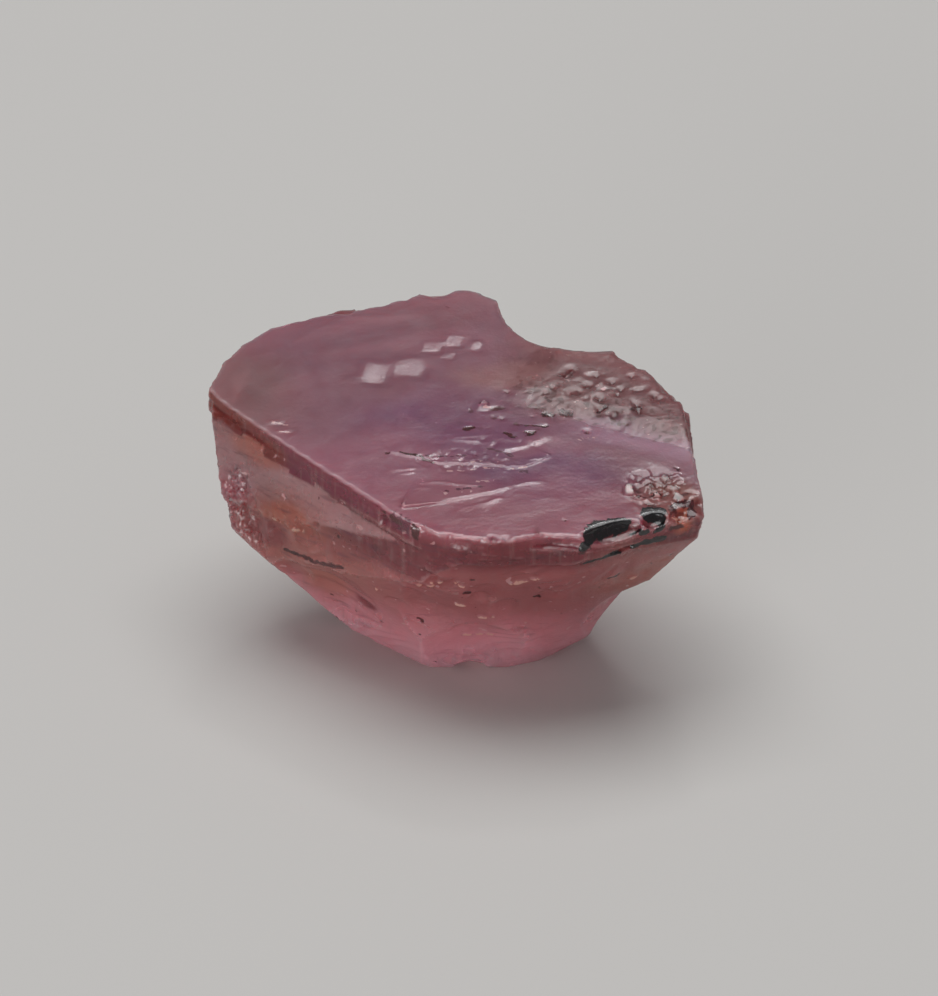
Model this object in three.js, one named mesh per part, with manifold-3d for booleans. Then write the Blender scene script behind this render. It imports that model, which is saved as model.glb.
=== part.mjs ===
// A rough pink sapphire, 7.9 mm long: a thin flat-topped growth layer on a body that narrows to a small foot.
// Millimetres, +Z up. The stone stands on its foot, with the long broken front wall towards -Y. Its origin is
// where it stands, under the middle of its bounding box.
import * as THREE from 'three';
import { mergeVertices } from 'three/addons/utils/BufferGeometryUtils.js';
import Module from 'manifold-3d';

const wasm = await Module();
wasm.setup();

// ---- driving dimensions, in millimetres
const topTilt = 7;                    // degrees that the flat top leans towards -Y
const topPoint = [0.7, -3.3, 3.6];    // a point on the top's front edge
const layerThickness = 0.4;           // the stepped top layer
const layerBite = 0.2;                // how far the body reaches up into that layer
const terraceHeight = 0.05;           // the front edge of a growth terrace on the top
const terraceSink = 0.07;             // a terrace sinks back into the top by this much per millimetre
const roughRise = 0.06;               // the pitted back right corner stands this much over the top
const notch = { at: [2.2, 3.16, 3.9], radius: 1.52, reach: 3.3 };   // the shell-shaped hollow at the back
const blockSize = { across: 12, high: 6 };   // the block that the body is cut from
const cutterSize = 24;                // half-space cutters, far larger than the stone
const scoopFacet = 0.32;              // about the size of a facet inside a large scoop
const chipShape = { sides: 5, spread: [1.2, 2.2], flattened: [0.4, 1], lean: 20 };
const pitStretch = 1.4;               // a pit is this much longer than wide
const crystalShape = { sides: [1.5, 1, 0.8], size: [0.09, 0.16] };

const topSlope = Math.tan(THREE.MathUtils.degToRad(topTilt));
const topHeight = (y) => topPoint[2] + (y - topPoint[1]) * topSlope;

// ---- solids from three.js geometry
function solidFrom(geometry) {
  const bare = geometry.clone();
  bare.deleteAttribute('normal');
  bare.deleteAttribute('uv');
  const merged = mergeVertices(bare, 1e-4);
  return new wasm.Manifold(new wasm.Mesh({
    numProp: 3,
    vertProperties: merged.attributes.position.array,
    triVerts: new Uint32Array(merged.index.array),
  }));
}

function meshFrom(solid, name, material) {
  const { vertProperties, triVerts } = solid.getMesh();
  const geometry = new THREE.BufferGeometry();
  geometry.setAttribute('position', new THREE.BufferAttribute(vertProperties, 3));
  geometry.setIndex(new THREE.BufferAttribute(triVerts, 1));
  geometry.computeBoundingBox();
  const { min, max } = geometry.boundingBox;
  geometry.translate(-(min.x + max.x) / 2, -(min.y + max.y) / 2, -min.z);
  geometry.computeVertexNormals();
  const mesh = new THREE.Mesh(geometry, material);
  mesh.name = name;
  return mesh;
}

// The direction a face looks in: azimuth 0 = +X and 90 = +Y, tilt up or down from the horizon.
function direction(azimuth, tilt) {
  const turn = THREE.MathUtils.degToRad(azimuth);
  const rise = THREE.MathUtils.degToRad(tilt);
  return new THREE.Vector3(
    Math.cos(rise) * Math.cos(turn),
    Math.cos(rise) * Math.sin(turn),
    Math.sin(rise),
  );
}

// Everything outside a plane, as a big box standing on that plane.
function outside({ through, azimuth, tilt }) {
  const box = new THREE.BoxGeometry(cutterSize, cutterSize, cutterSize);
  box.translate(0, 0, cutterSize / 2);
  const up = new THREE.Vector3(0, 0, 1);
  box.applyQuaternion(new THREE.Quaternion().setFromUnitVectors(up, direction(azimuth, tilt)));
  box.translate(...through);
  return solidFrom(box);
}

// A plane parallel to the top, `depth` below it.
const growthPlane = (depth) => ({
  through: [topPoint[0], topPoint[1], topPoint[2] - depth],
  azimuth: 270,
  tilt: 90 - topTilt,
});

// ---- the body: a block cut back along its broken and grown faces
const bodyFaces = {
  leftShelf:       { through: [-3.56, -0.35, 2.54], azimuth: 226.7, tilt: 15 },
  leftWall:        { through: [-3.56, -0.35, 2.54], azimuth: 230.5, tilt: -4 },
  left:            { through: [-3.9, 0.7, 4.0], azimuth: 172, tilt: -12 },
  backLeft:        { through: [-3.2, 2.2, 4.2], azimuth: 128, tilt: -14 },
  back:            { through: [-0.1, 3.4, 4.3], azimuth: 96, tilt: -10 },
  backRight:       { through: [2.6, 1.5, 4.1], azimuth: 48, tilt: -16 },
  front:           { through: [0.7, -3.2, 3.3], azimuth: 270, tilt: -5 },
  frontCorner:     { through: [-0.45, -2.99, 3.3], azimuth: 247, tilt: -4 },
  underFront:      { through: [0.4, -3.08, 2.95], azimuth: 270, tilt: -33 },
  underLeft:       { through: [-3.12, -0.83, 1.96], azimuth: 238, tilt: -29 },
  underLeftBack:   { through: [-2.3, -0.35, 0.86], azimuth: 210, tilt: -42 },
  underBack:       { through: [0, 3.0, 2.4], azimuth: 92, tilt: -38 },
  underBackLeft:   { through: [-2.2, 2.0, 2.0], azimuth: 135, tilt: -42 },
  underBackRight:  { through: [2.4, 1.6, 1.9], azimuth: 48, tilt: -40 },
  footLeft:        { through: [-1.3, -0.7, 0.26], azimuth: 220, tilt: -58 },
  footRight:       { through: [1.97, -0.9, 0.34], azimuth: 332, tilt: -57 },
  footBack:        { through: [0.2, 1.9, 0.2], azimuth: 85, tilt: -62 },
};

// Faces that run through the body and the top layer alike.
const wholeFaces = {
  frontRim:        { through: [0.7, -3.26, 3.6], azimuth: 270, tilt: -5 },
  right:           { through: [3.86, -1.6, 3.7], azimuth: 4, tilt: -12 },
  frontRight:      { through: [3.0, -2.78, 3.3], azimuth: 294, tilt: -16 },
  lobeCorner:      { through: [0.57, 3.2, 4.3], azimuth: 58, tilt: -8 },
  underRight:      { through: [3.72, -2.3, 3.0], azimuth: 356, tilt: -34 },
  underFrontRight: { through: [2.0, -3.05, 3.01], azimuth: 293, tilt: -36 },
};

// Steps broken along the growth planes: deeper than `below`, the stone outside `wall` is gone.
const brokenSteps = [
  { below: 0.8, wall: { through: [-1.5, 2.78, 3.3], azimuth: 110, tilt: -12 } },
  { below: 1.35, wall: { through: [-0.6, 2.62, 2.8], azimuth: 98, tilt: -18 } },
  { below: 0.9, wall: { through: [2.95, 0.75, 3.0], azimuth: 28, tilt: -20 } },
  { below: 1.0, wall: { through: [-3.42, 1.2, 3.0], azimuth: 160, tilt: -12 } },
];

function body() {
  const block = new THREE.BoxGeometry(blockSize.across, blockSize.across, blockSize.high);
  block.translate(0, 0, blockSize.high / 2);
  let solid = solidFrom(block);
  for (const face of Object.values(bodyFaces)) solid = solid.subtract(outside(face));
  for (const { below, wall } of brokenSteps) {
    solid = solid.subtract(outside(wall).subtract(outside(growthPlane(below))));
  }
  return solid.subtract(outside(growthPlane(layerThickness - layerBite)));
}

// ---- slabs that follow the leaning top: the top layer itself, the rough corner and the growth terraces
// `sinkFrom` and `sink`: behind that y, the slab's own top sinks away by so much per millimetre.
function slabAlongTop(outline, { above, below, sinkFrom = 0, sink = 0 }) {
  const shape = new THREE.Shape(outline.map(([x, y]) => new THREE.Vector2(x, y)));
  const slab = new THREE.ExtrudeGeometry(shape, { depth: above + below, bevelEnabled: false });
  slab.applyMatrix4(new THREE.Matrix4().makeShear(0, 0, 0, topSlope - sink, 0, 0));
  slab.translate(0, 0, topHeight(0) + sink * sinkFrom - below);
  return solidFrom(slab);
}

const layerOutline = [
  [-3.96, 0.7], [-3.71, 0.33], [-2.44, -1.05], [-1.01, -2.55], [-0.66, -2.88], [-0.23, -3.1],
  [0.7, -3.29], [1.48, -3.12], [2.1, -3.2], [3.04, -2.85], [3.7, -2.66], [3.9, -2.5],
  [3.87, -2.19], [3.74, -0.95], [3.65, 0.2], [3.43, 0.7], [3.04, 1.14], [2.65, 1.46],
  [1.9, 3.2], [0.6, 3.3], [0.4, 3.42], [-0.09, 3.45], [-0.57, 3.34], [-1.14, 3.03],
  [-2.51, 2.61], [-3.02, 2.34], [-3.46, 1.87], [-3.74, 1.41],
];
// The rough corner ends towards the front in a pale sloping ridge, and fades out towards the left.
const roughOutline = [[0.7, 0.45], [4.2, -1.1], [4.2, 1.6], [1.6, 2.6], [0.5, 2.2]];
const roughEdges = [
  { through: [1.91, -0.12, topHeight(-0.12)], azimuth: 257, tilt: 76 },
  { through: [0.85, 0.8, topHeight(0.8)], azimuth: 190, tilt: 80 },
];
// Terraces step down towards the front and sink into the top behind.
const terraces = [
  { sinkFrom: -1.4, outline: [[-1.07, -1.0], [-0.5, -1.13], [-0.34, -1.26], [0.13, -1.29], [0.87, -1.39],
    [1.07, -1.39], [1.5, -1.1], [0.9, -0.6], [-0.6, -0.5]] },
  { sinkFrom: -0.95, outline: [[-0.15, -0.55], [0.2, -0.72], [0.45, -0.76], [0.76, -1.0], [1.14, -0.87],
    [1.5, -0.6], [1.1, 0], [0.1, 0.1]] },
  { sinkFrom: -2.4, outline: [[-0.81, -2.43], [-0.18, -2.3], [0.55, -2.07], [0.9, -1.9], [0.4, -1.5],
    [-0.6, -1.7]] },
];

function topSlabs() {
  let solid = slabAlongTop(layerOutline, { above: 0, below: layerThickness });
  const reach = { above: roughRise, below: layerBite };
  let rough = slabAlongTop(roughOutline, reach).intersect(slabAlongTop(layerOutline, reach));
  for (const edge of roughEdges) rough = rough.subtract(outside(edge));
  solid = solid.add(rough);
  for (const { sinkFrom, outline } of terraces) {
    const terrace = { above: terraceHeight, below: layerBite, sinkFrom, sink: terraceSink };
    solid = solid.add(slabAlongTop(outline, terrace));
  }
  return solid;
}

function notchCutter() {
  const hollow = new THREE.IcosahedronGeometry(1, 9);
  hollow.scale(notch.radius, notch.radius, notch.reach);
  hollow.translate(...notch.at);
  return solidFrom(hollow);
}

// ---- shell-shaped scoops: `width` across and `depth` deep, opening the way the azimuth and tilt say
const scoops = [
  // the hollow in the lower right edge
  { at: [2.42, -1.42, 1.22], azimuth: 325, tilt: -35, width: 1.6, depth: 0.18 },
  // the front underside
  { at: [1.3, -2.3, 1.79], azimuth: 275, tilt: -34, width: 1.9, depth: 0.1 },
  { at: [-0.6, -2.22, 1.8], azimuth: 262, tilt: -33, width: 1.5, depth: 0.08 },
  { at: [0.35, -1.62, 0.78], azimuth: 268, tilt: -34, width: 1.3, depth: 0.07 },
  { at: [-0.15, -2.72, 2.4], azimuth: 268, tilt: -30, width: 0.7, depth: 0.05 },
  { at: [0.5, -2.66, 2.32], azimuth: 272, tilt: -36, width: 0.6, depth: 0.04 },
  { at: [-1.9, -1.2, 1.45], azimuth: 238, tilt: -30, width: 1.4, depth: 0.08 },
  { at: [-2.4, -0.95, 1.6], azimuth: 232, tilt: -26, width: 0.6, depth: 0.05 },
  { at: [0.24, -1.1, 0.0], azimuth: 270, tilt: -45, width: 0.5, depth: 0.1 },
  // the left wall and shelf
  { at: [-2.6, -1.28, 2.5], azimuth: 230, tilt: 0, width: 1.1, depth: 0.06 },
  { at: [-1.5, -2.15, 2.75], azimuth: 232, tilt: -6, width: 0.9, depth: 0.05 },
  // the back and the sides
  { at: [-0.4, 2.35, 1.55], azimuth: 92, tilt: -38, width: 2.2, depth: 0.2 },
  { at: [-2.3, 1.95, 2.0], azimuth: 135, tilt: -42, width: 1.8, depth: 0.16 },
  { at: [-3.5, 1.2, 2.6], azimuth: 170, tilt: -16, width: 1.6, depth: 0.14 },
  { at: [2.85, 0.5, 1.75], azimuth: 20, tilt: -38, width: 1.8, depth: 0.16 },
  { at: [3.5, -0.6, 2.9], azimuth: 4, tilt: -18, width: 1.3, depth: 0.1 },
];
function scoopCutter({ at, azimuth, tilt, width, depth }) {
  const radius = (width * width / 4 + depth * depth) / (2 * depth);
  const ball = new THREE.IcosahedronGeometry(radius, Math.round(radius / Math.min(scoopFacet, width / 4)));
  const centre = new THREE.Vector3(...at).addScaledVector(direction(azimuth, tilt), radius - depth);
  ball.translate(centre.x, centre.y, centre.z);
  return solidFrom(ball);
}

// ---- small angular chips, pits and crystals, strewn with a fixed seed
THREE.MathUtils.seededRandom(12);
const between = (low, high) => low + (high - low) * THREE.MathUtils.seededRandom();
const anyTurn = () => between(0, 2 * Math.PI);

function placed(geometry, at, stretch) {
  const turn = new THREE.Euler(anyTurn(), anyTurn(), anyTurn());
  geometry.scale(...stretch);
  geometry.applyQuaternion(new THREE.Quaternion().setFromEuler(turn));
  geometry.translate(...at);
  return solidFrom(geometry);
}

// Rows of chips: pyramids cut in along a line, `deep` at most, from the side that the azimuth and tilt name.
const chipRows = {
  frontRim:   { from: [-0.1, -3.2, 3.62], to: [2.0, -3.26, 3.62], count: 10, deep: 0.07, stray: 0.03,
    azimuth: 270, tilt: 45, length: 0.5 },
  leftCrumbs: { from: [-3.6, -0.3, 2.6], to: [-2.95, -0.85, 1.8], count: 12, deep: 0.13, stray: 0.16,
    azimuth: 225, tilt: -5, length: 0.4 },
  shelfFoot:  { from: [-3.1, -0.75, 2.65], to: [-0.9, -2.62, 3.15], count: 9, deep: 0.06, stray: 0.05,
    azimuth: 229, tilt: 5, length: 0.3 },
  rightTip:   { from: [3.35, -2.72, 3.66], to: [3.88, -2.1, 3.72], count: 7, deep: 0.09, stray: 0.06,
    azimuth: 310, tilt: 40, length: 0.4 },
  backRim:    { from: [-3.0, 2.4, 4.3], to: [0.4, 3.45, 4.43], count: 10, deep: 0.08, stray: 0.05,
    azimuth: 108, tilt: 35, length: 0.4 },
  rightRim:   { from: [2.75, 1.45, 4.25], to: [3.7, 0.0, 4.1], count: 8, deep: 0.08, stray: 0.05,
    azimuth: 40, tilt: 35, length: 0.4 },
};
function chips({ from, to, count, deep, stray, azimuth, tilt, length }) {
  const start = new THREE.Vector3(...from);
  const end = new THREE.Vector3(...to);
  return Array.from({ length: count }, (_, i) => {
    const pyramid = new THREE.ConeGeometry(between(...chipShape.spread) * length, length, chipShape.sides);
    pyramid.translate(0, -length / 2, 0);
    pyramid.rotateY(anyTurn());
    pyramid.scale(between(...chipShape.flattened), 1, 1);
    pyramid.rotateY(anyTurn());
    const leaning = () => between(-chipShape.lean, chipShape.lean);
    const out = direction(azimuth + leaning(), tilt + leaning());
    pyramid.applyQuaternion(new THREE.Quaternion().setFromUnitVectors(new THREE.Vector3(0, -1, 0), out));
    const tip = start.clone().lerp(end, (i + between(0.1, 0.9)) / count);
    tip.addScaledVector(out, -deep * between(0.4, 1));
    pyramid.translate(tip.x, tip.y, tip.z + between(-stray, stray));
    return solidFrom(pyramid);
  });
}

// Pits in the rough corner and before it, denser towards the pale ridge line.
const pitField = {
  centre: [2.05, 0.35], reach: [1.25, 0.85], rise: roughRise, count: 56, size: [0.06, 0.14],
};
const looseField = {
  centre: [0.7, -0.4], reach: [0.8, 0.5], rise: terraceHeight, count: 18, size: [0.08, 0.12],
};
function pits({ centre, reach, rise, count, size }) {
  return Array.from({ length: count }, () => {
    const turn = anyTurn();
    const far = Math.sqrt(between(0, 1));
    const x = centre[0] + reach[0] * far * Math.cos(turn);
    const y = centre[1] + reach[1] * far * Math.sin(turn);
    const radius = between(...size);
    const z = topHeight(y) + rise + radius * between(0, 0.3);
    return placed(new THREE.OctahedronGeometry(1), [x, y, z], [pitStretch * radius, radius, radius]);
  });
}

// Hollows that the black inclusions left in the front right rim, and the dark crack under them.
const rimHollows = [
  { at: [2.44, -3.03, 3.62], radii: [0.52, 0.2, 0.2] },
  { at: [3.1, -2.74, 3.68], radii: [0.23, 0.16, 0.16] },
  { at: [3.52, -2.58, 3.68], radii: [0.19, 0.13, 0.14] },
];
const rimTurn = THREE.MathUtils.degToRad(24);
const crack = { from: [1.94, -3.18, 3.07], to: [3.3, -2.64, 3.37], width: 0.14, height: 0.05 };
function rimCutters() {
  const hollows = rimHollows.map(({ at, radii }) => {
    const ball = new THREE.IcosahedronGeometry(1, 2);
    ball.scale(...radii);
    ball.rotateZ(rimTurn);
    ball.translate(...at);
    return solidFrom(ball);
  });
  const from = new THREE.Vector3(...crack.from);
  const to = new THREE.Vector3(...crack.to);
  const slot = new THREE.OctahedronGeometry(1);
  slot.scale(from.distanceTo(to) / 2, crack.width, crack.height);
  const along = to.clone().sub(from).normalize();
  slot.applyQuaternion(new THREE.Quaternion().setFromUnitVectors(new THREE.Vector3(1, 0, 0), along));
  slot.translate(...from.add(to).multiplyScalar(0.5).toArray());
  return [...hollows, solidFrom(slot)];
}

// Little bright crystals that stand on the top by the front right rim and among the pits.
const crystalSpots = [
  [2.9, -2.22], [3.06, -1.86], [3.3, -1.68], [3.4, -1.95], [2.74, -1.99], [3.5, -2.2], [3.16, -2.1],
  [0.45, 0.25], [2.32, 0.73], [1.5, 0.62],
];
function crystals() {
  return crystalSpots.map(([x, y]) => {
    const size = between(...crystalShape.size);
    return placed(new THREE.BoxGeometry(...crystalShape.sides), [x, y, topHeight(y)], [size, size, size]);
  });
}

let stone = body().add(topSlabs());
for (const face of Object.values(wholeFaces)) stone = stone.subtract(outside(face));
stone = stone.subtract(notchCutter());
for (const scoop of scoops) stone = stone.subtract(scoopCutter(scoop));
for (const crystal of crystals()) stone = stone.add(crystal);
const smallCutters = [
  ...Object.values(chipRows).flatMap(chips),
  ...pits(pitField),
  ...pits(looseField),
  ...rimCutters(),
];
for (const cutter of smallCutters) stone = stone.subtract(cutter);

const corundum = new THREE.MeshStandardMaterial({ color: 0x9a6068, roughness: 0.25, metalness: 0 });
const roughSapphire = new THREE.Group();
roughSapphire.add(meshFrom(stone, 'sapphire', corundum));
export default roughSapphire;
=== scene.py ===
import math

import bmesh
import bpy
from mathutils import Matrix, Vector, noise


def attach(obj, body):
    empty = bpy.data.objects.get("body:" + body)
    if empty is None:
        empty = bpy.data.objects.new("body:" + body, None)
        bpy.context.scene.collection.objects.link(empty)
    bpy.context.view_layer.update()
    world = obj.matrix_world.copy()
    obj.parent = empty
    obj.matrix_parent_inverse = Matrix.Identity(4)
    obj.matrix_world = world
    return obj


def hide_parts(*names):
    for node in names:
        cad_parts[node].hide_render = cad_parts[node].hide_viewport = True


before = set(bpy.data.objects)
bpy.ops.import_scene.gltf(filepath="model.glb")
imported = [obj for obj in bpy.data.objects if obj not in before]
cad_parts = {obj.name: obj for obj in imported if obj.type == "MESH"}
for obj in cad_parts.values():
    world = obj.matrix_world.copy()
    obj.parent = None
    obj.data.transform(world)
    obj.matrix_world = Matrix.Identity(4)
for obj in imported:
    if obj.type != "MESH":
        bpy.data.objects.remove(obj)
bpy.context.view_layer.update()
scene = bpy.context.scene
mm = 0.001
noise.seed_set(5)   # the wander of the borders is the same each time


def tone(code):   # a colour written as on a paint chart, made linear for the shaders
    parts = [int(code[i:i + 2], 16) / 255 for i in (0, 2, 4)]
    return (*[p / 12.92 if p <= 0.04045 else ((p + 0.055) / 1.055) ** 2.4 for p in parts], 1.0)


def fade(low, high, value):   # 0 up to low, 1 from high on
    t = min(max((value - low) / (high - low), 0.0), 1.0)
    return t * t * (3.0 - 2.0 * t)


def blob(at, centre, radii):   # 1 in the middle of an ellipsoid, 0 from its rim on
    far = math.sqrt(sum(((a - c) / r) ** 2 for a, c, r in zip(at, centre, radii)))
    return 1.0 - fade(0.45, 1.0, far)


def direction(azimuth, tilt):   # azimuth 0 is +X and 90 is +Y, in degrees
    turn, rise = math.radians(azimuth), math.radians(tilt)
    return Vector((math.cos(rise) * math.cos(turn), math.cos(rise) * math.sin(turn), math.sin(rise)))


def lineHeight(points, x):   # y of a line of points running along x
    if x <= points[0][0]:
        return points[0][1]
    for (x0, y0), (x1, y1) in zip(points, points[1:]):
        if x <= x1:
            return y0 + (y1 - y0) * (x - x0) / (x1 - x0)
    return points[-1][1]


# the stone's form, in millimetres
stone = {
    "skin": 0.03,                   # spacing of the even skin that the relief is carved in
    "weld": 0.001,
    "soften": 2,                    # passes that round the skin's cut edges a little
    "softRim": 24,                  # passes that round the back rim
    "faces": 190000,                # triangles that are left in the end
    "topLean": 7.0,                 # the flat top leans this many degrees towards -Y
    "topPoint": (0.73, -3.395, 3.6),
    "footFade": (0.1, 0.5),         # the relief fades in over this height above the foot
    "ridge": [(0.5, 0.3), (1.94, -0.25), (2.41, -0.51), (2.96, -0.72), (3.68, -0.98)],
    "frontRim": [(-0.63, -2.97), (-0.2, -3.19), (0.73, -3.38), (1.51, -3.21), (2.13, -3.29)],
    "shelfWay": (226.7, 15),
    "riser": {"end": 0.42, "step": 0.12, "block": 0.8, "recess": 0.012},
    "wave": {"size": 1.4, "high": 0.006},
    "lump": {"size": 0.7, "high": 0.022},
    "stepShare": 0.45,              # how much of the growth steps' height stays
    "line": {"slope": -0.1, "pitch": 0.13, "long": 0.8, "high": 0.011},
    "grain": {"size": 0.2, "high": 0.02, "lean": 0.6},
    "hole": {"size": (0.19, 0.14, 0.16), "deep": 0.004},
    "streak": {"pitch": 0.1, "long": 1.1, "high": 0.011},
    "shell": {"pitch": 0.3, "high": 0.01},
    "lip": {"reach": 0.07, "wave": 0.24, "out": 0.09, "up": 0.012},
    "crest": 0.035,                 # height of the bright crests on the broken faces
    "pitDeep": 0.005,
    "keep": {"bars": 0.2, "lip": 0.3},   # shares from which on the small faces stay
}
# soft-edged places on the stone: centre and radii
places = {
    "rightTip": ((3.35, -2.3, 3.7), (0.75, 0.75, 0.45)),
    "crumbs": ((-3.45, -0.5, 2.5), (0.55, 0.6, 0.95)),
    "crystals": ((3.2, -2.0, 3.85), (0.8, 0.9, 0.6)),
    "crystalFaces": ((3.2, -1.95, 3.8), (0.55, 0.5, 0.4)),
    "pits": ((0.95, -0.15, 4.0), (1.1, 0.55, 0.6)),
    "softPits": ((0.9, -0.45, 3.95), (1.3, 0.9, 0.6)),
    "lines": ((0.35, -1.6, 3.8), (1.7, 1.2, 1.0)),
    "lineGrain": ((0.25, -1.35, 3.87), (1.1, 0.4, 0.3)),
    "frontSpot": ((0.1, -3.25, 3.42), (0.35, 0.25, 0.2)),
}
# where each part starts and where it is whole: in millimetres, or as the cosine of how its faces look
spans = {
    "topFacing": (0.8, 0.95), "topEnd": (0.1, 0.3),
    "cornerBehind": (-0.1, 0.1), "cornerAlong": (0.6, 1.5), "cornerEnd": (0.2, 0.45),
    "wallFacing": (0.35, 0.55), "wallBelow": (0.02, 0.08), "sideBelow": (0.02, 0.07),
    "underFacing": (0.3, 0.5), "underBelow": (0.4, 0.85), "underAll": (0.95, 1.25),
    "ridgeAlong": (1.5, 2.4), "ridgeAcross": (0.05, 0.45), "ridgeEnd": (0.2, 0.4),
    "crystalAbove": (0.015, 0.05), "backAlong": (-0.2, 0.8), "backBelow": (0.1, 0.3),
    "shelfFacing": (0.94, 0.975), "shelfBelow": (0.3, 0.36), "grainEnd": (0.5, 1.1), "lowEnd": (0.5, 2.0),
    "holes": (0.34, 0.46), "breaks": (-0.25, 0.15), "lipLeft": (-0.8, -0.4), "lipRight": (1.7, 2.1),
    "riserRight": (-0.8, -0.55), "riserFacing": (0.3, 0.6), "recessEnd": (0.2, 0.34),
    "pitEdge": (0.35, 0.6), "crestEdge": (0.2, 0.8), "blackEdge": (0.3, 0.5), "facetEdge": (0.2, 0.6),
    "softBack": (0.2, 1.0), "softBackEnd": (0.8, 1.4), "softBehind": (-0.2, 0.1), "softAlong": (0.6, 1.0),
    "softEnd": (0.4, 0.8), "sharpBend": (1.5, 8.0),
}
# how the borders wander: size of the wander, and how far it goes
strays = {
    "part": (0.3, 0.035), "bar": (0.09, 0.035), "brokenBar": (0.25, 0.06), "stain": (0.9, 0.25),
    "facet": (0.3, 0.06),
}
topSlope = math.tan(math.radians(stone["topLean"]))
topWay = direction(270, 90 - stone["topLean"])
shelfWay = direction(*stone["shelfWay"])

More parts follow.
